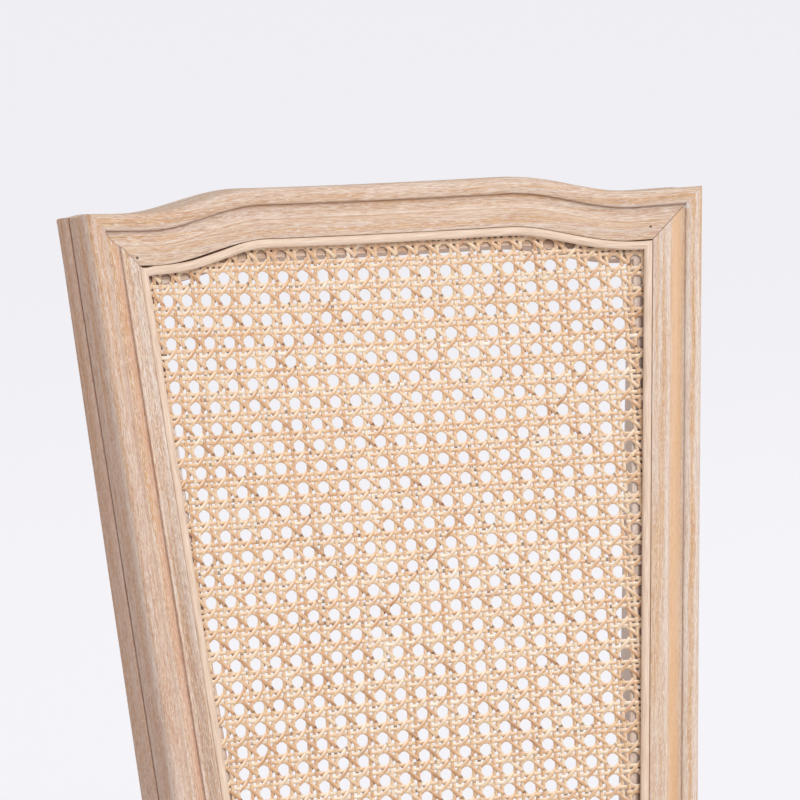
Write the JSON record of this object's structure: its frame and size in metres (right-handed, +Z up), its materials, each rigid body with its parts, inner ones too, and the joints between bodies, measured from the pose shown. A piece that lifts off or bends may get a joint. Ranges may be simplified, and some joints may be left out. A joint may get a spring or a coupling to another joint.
{
  "type": "cane back dining chair",
  "caption": "Dining chair with a curved, raked back of woven cane in a moulded oak frame with a raised crest, fluted front legs and a drop-in upholstered seat.",
  "frame": {"origin": "on the floor, under the middle of the chair's box", "axes": "+Z up, -Y the way the chair faces, +X to the right as seen from the front"},
  "size_m": [0.49, 0.5834, 1.0193],
  "materials": {
    "limed_oak": "limed, waxed",
    "pale_reed": "plain split reed",
    "woven_cane": "glossy cane skin",
    "beech_wood": "sawn",
    "plywood": "sanded",
    "linen": "woven",
    "foam": "cut foam",
    "cambric": "woven",
    "zinc_steel": "zinc plated",
    "nylon": "moulded"
  },
  "bodies": {
    "root": {"crest_rail": "limed_oak", "lower_back_rail": "limed_oak", "cane_panel": "woven_cane", "cane_reed_top": "pale_reed", "cane_reed_bottom": "pale_reed", "cane_reed_left": "pale_reed", "crest_dowel_left_1": "beech_wood", "lower_rail_dowel_left_1": "beech_wood", "crest_dowel_left_2": "beech_wood", "lower_rail_dowel_left_2": "beech_wood", "rear_leg_left": "limed_oak", "front_leg_left": "limed_oak", "rear_glide_left": "nylon", "front_glide_left": "nylon", "side_seat_rail_left": "limed_oak", "corner_block_front_left": "beech_wood", "seat_screw_front_left": "zinc_steel", "block_screw_front_left_1": "zinc_steel", "block_screw_front_left_2": "zinc_steel", "corner_block_rear_left": "beech_wood", "seat_screw_rear_left": "zinc_steel", "block_screw_rear_left_1": "zinc_steel", "block_screw_rear_left_2": "zinc_steel", "cane_reed_right": "pale_reed", "crest_dowel_right_1": "beech_wood", "lower_rail_dowel_right_1": "beech_wood", "crest_dowel_right_2": "beech_wood", "lower_rail_dowel_right_2": "beech_wood", "rear_leg_right": "limed_oak", "front_leg_right": "limed_oak", "rear_glide_right": "nylon", "front_glide_right": "nylon", "side_seat_rail_right": "limed_oak", "corner_block_front_right": "beech_wood", "seat_screw_front_right": "zinc_steel", "block_screw_front_right_1": "zinc_steel", "block_screw_front_right_2": "zinc_steel", "corner_block_rear_right": "beech_wood", "seat_screw_rear_right": "zinc_steel", "block_screw_rear_right_1": "zinc_steel", "block_screw_rear_right_2": "zinc_steel", "front_seat_rail": "limed_oak", "rear_seat_rail": "limed_oak", "dust_cover": "cambric", "seat_board": "plywood", "seat_foam": "foam", "seat_cover": "linen", "seat_welt": "linen"}
  },
  "joints": []
}
